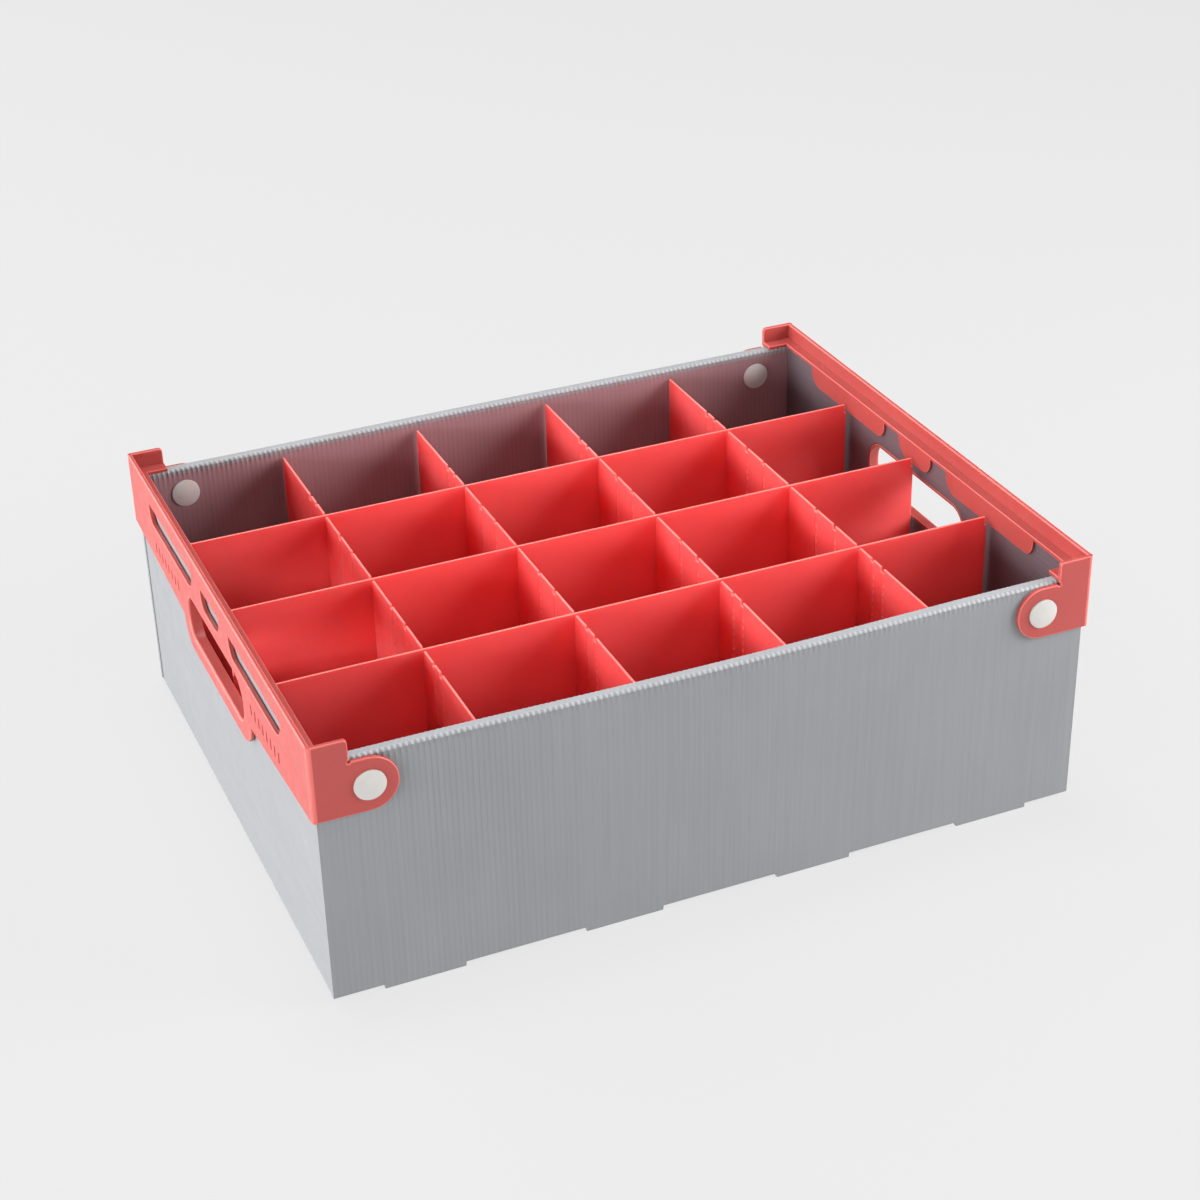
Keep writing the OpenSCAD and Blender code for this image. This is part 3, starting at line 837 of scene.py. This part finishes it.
def cross_divider(i):
    """A divider across the box, with scored lines below its spare notches."""
    node = f"cross_divider_{i}"
    low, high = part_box(node)
    lap = (low.z + high.z) / 2
    piece = rounded_sheet(
        f"{node}_sheet", cross_outlines(low.z, high.z, lap), low.x, high.x, DIVIDER_ROUND,
        lambda a, b, height: (height, a, b), whole_edge=True)
    corners = []
    for f in SPARE_WIDE + SPARE_SMALL:
        y = (2 * f - 1) * INNER_Q
        for x in (low.x, high.x):
            start = (x - SCORE_DEPTH, y - SCORE_WIDTH / 2, low.z - MM)
            corners.append((start, (x + SCORE_DEPTH, y + SCORE_WIDTH / 2, RIM_Z)))
    combine(piece, [boxes("scores", corners)], "DIFFERENCE")
    finished(shade(piece, RED_SHARP), [node], [RED_DIVIDER, RED_DIVIDER_HIGHLIGHT])


def long_divider(word):
    """A divider along the box, slotted from below and stepped at the lobes."""
    node = f"long_divider_{word}"
    low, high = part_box(node)
    lap, half = (low.z + high.z) / 2, high.x
    outline = [(-half, low.z)]
    for i in range(1, 5):
        left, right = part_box(f"cross_divider_{i}")
        middle = (left.x + right.x) / 2
        outline += [(middle - SLOT / 2, low.z), (middle - SLOT / 2, lap)]
        outline += [(middle + SLOT / 2, lap), (middle + SLOT / 2, low.z)]
    step = half - LONG_STEP
    outline += [(half, low.z), (half, LOBE_Z - MM), (step, LOBE_Z - MM), (step, high.z)]
    outline += [(-step, high.z), (-step, LOBE_Z - MM), (-half, LOBE_Z - MM)]
    piece = rounded_sheet(
        f"{node}_sheet", [outline], low.y, high.y, DIVIDER_ROUND,
        lambda a, b, height: (a, height, b), whole_edge=True)
    finished(shade(piece, RED_SHARP), [node], [RED_DIVIDER, RED_DIVIDER_HIGHLIGHT])


def rivets():
    """The rivets keep the CAD's own meshes."""
    for node, piece in NODES.items():
        if "rivet" in node:
            for slot in piece.material_slots:
                slot.material = WHITE_RIVET


# --- Studio ---------------------------------------------------------------------------------------
HORIZON, ZENITH = 0.83, 0.05          # brightness of the surroundings, low down and overhead
HORIZON_TOP, ZENITH_LOW = 0.02, 0.30  # where one starts to turn into the other, and ends
FLOOR_SIZE, FLOOR_TONE, FLOOR_GLOW = 80, 0.06, 0.74

VIEW_TURN = (-22.737, 29.732, -1.471)  # the camera's azimuth, elevation and roll in degrees
VIEW_DISTANCE, VIEW_TARGET = 1.8298, (0.0959, 0.2107, -0.0275)
LENS, SENSOR = 71.73, 36              # in millimetres


def studio():
    """Pale surroundings and a pale floor."""
    world = bpy.data.worlds.new("studio")
    world.use_nodes = True
    bpy.context.scene.world = world
    nodes, links = world.node_tree.nodes, world.node_tree.links
    split = nodes.new("ShaderNodeSeparateXYZ")
    links.new(nodes.new("ShaderNodeTexCoord").outputs["Generated"], split.inputs["Vector"])
    fall = nodes.new("ShaderNodeMapRange")
    fall.inputs["From Min"].default_value = HORIZON_TOP
    fall.inputs["From Max"].default_value = ZENITH_LOW
    fall.inputs["To Min"].default_value = HORIZON
    fall.inputs["To Max"].default_value = ZENITH
    links.new(split.outputs["Z"], fall.inputs["Value"])
    links.new(fall.outputs["Result"], nodes["Background"].inputs["Strength"])
    nodes["Background"].inputs["Color"].default_value = (1.0, 1.0, 1.0, 1)
    bpy.ops.mesh.primitive_plane_add(size=FLOOR_SIZE, location=(0, 0, 0))
    floor = bpy.context.object
    floor.name = "studio_floor"
    tone = (FLOOR_TONE, FLOOR_TONE, FLOOR_TONE, 1)
    shader = Shader("studio_floor", Base_Color=tone, Roughness=1.0, Specular_IOR_Level=0.0)
    shader.surface.inputs["Emission Color"].default_value = (1, 1, 1, 1)
    shader.surface.inputs["Emission Strength"].default_value = FLOOR_GLOW
    floor.data.materials.append(shader.material)


def softbox(name, watts, size, place, target):
    """Rectangular area light at place, facing the target."""
    data = bpy.data.lights.new(name, "AREA")
    data.shape = "RECTANGLE"
    data.size, data.size_y = size
    data.energy = watts
    lamp = bpy.data.objects.new(name, data)
    lamp.location = place
    lamp.rotation_euler = (Vector(target) - Vector(place)).to_track_quat("-Z", "Y").to_euler()
    bpy.context.scene.collection.objects.link(lamp)


def camera():
    azimuth, elevation, roll = (math.radians(angle) for angle in VIEW_TURN)
    level = math.cos(elevation)
    back = Vector((math.sin(azimuth) * level, -math.cos(azimuth) * level, math.sin(elevation)))
    right = (-back).cross(Vector((0, 0, 1))).normalized()
    up = right.cross(-back)
    turned_right = right * math.cos(roll) + up * math.sin(roll)
    turned_up = up * math.cos(roll) - right * math.sin(roll)
    data = bpy.data.cameras.new("camera")
    data.sensor_width = SENSOR
    data.lens = LENS
    lens = bpy.data.objects.new("camera", data)
    pose = Matrix((turned_right, turned_up, back)).transposed().to_4x4()
    pose.translation = Vector(VIEW_TARGET) + back * VIEW_DISTANCE
    lens.matrix_world = pose
    bpy.context.scene.collection.objects.link(lens)
    bpy.context.scene.camera = lens


for side, word in ((FRONT, "front"), (REAR, "rear")):
    long_wall(side, word)
base_board()
for side, word in ((-1, "left"), (1, "right")):
    end_wall_board(side, word)
end_frames()
for i in range(1, 5):
    cross_divider(i)
for word in ("front", "middle", "rear"):
    long_divider(word)
rivets()
studio()
softbox("left", watts=76, size=(2.6, 0.7), place=(-2.2, -0.3, 0.42), target=(0, 0, 0.08))
softbox("right", watts=40, size=(1.2, 1.0), place=(1.4, -0.75, 0.75), target=(0.1, 0, 0.1))
softbox("front", watts=10, size=(2.0, 1.0), place=(-0.3, -1.9, 1.6), target=(0, 0, 0.1))
softbox("back_left", watts=75, size=(2.6, 2.2), place=(-1.6, 1.8, 1.4), target=(0, 0, 0.1))
softbox("overhead", watts=55, size=(1.0, 1.0), place=(0.1, 0.5, 3.0), target=(0, 0, 0.1))
camera()
bpy.context.scene.view_settings.view_transform = "Standard"
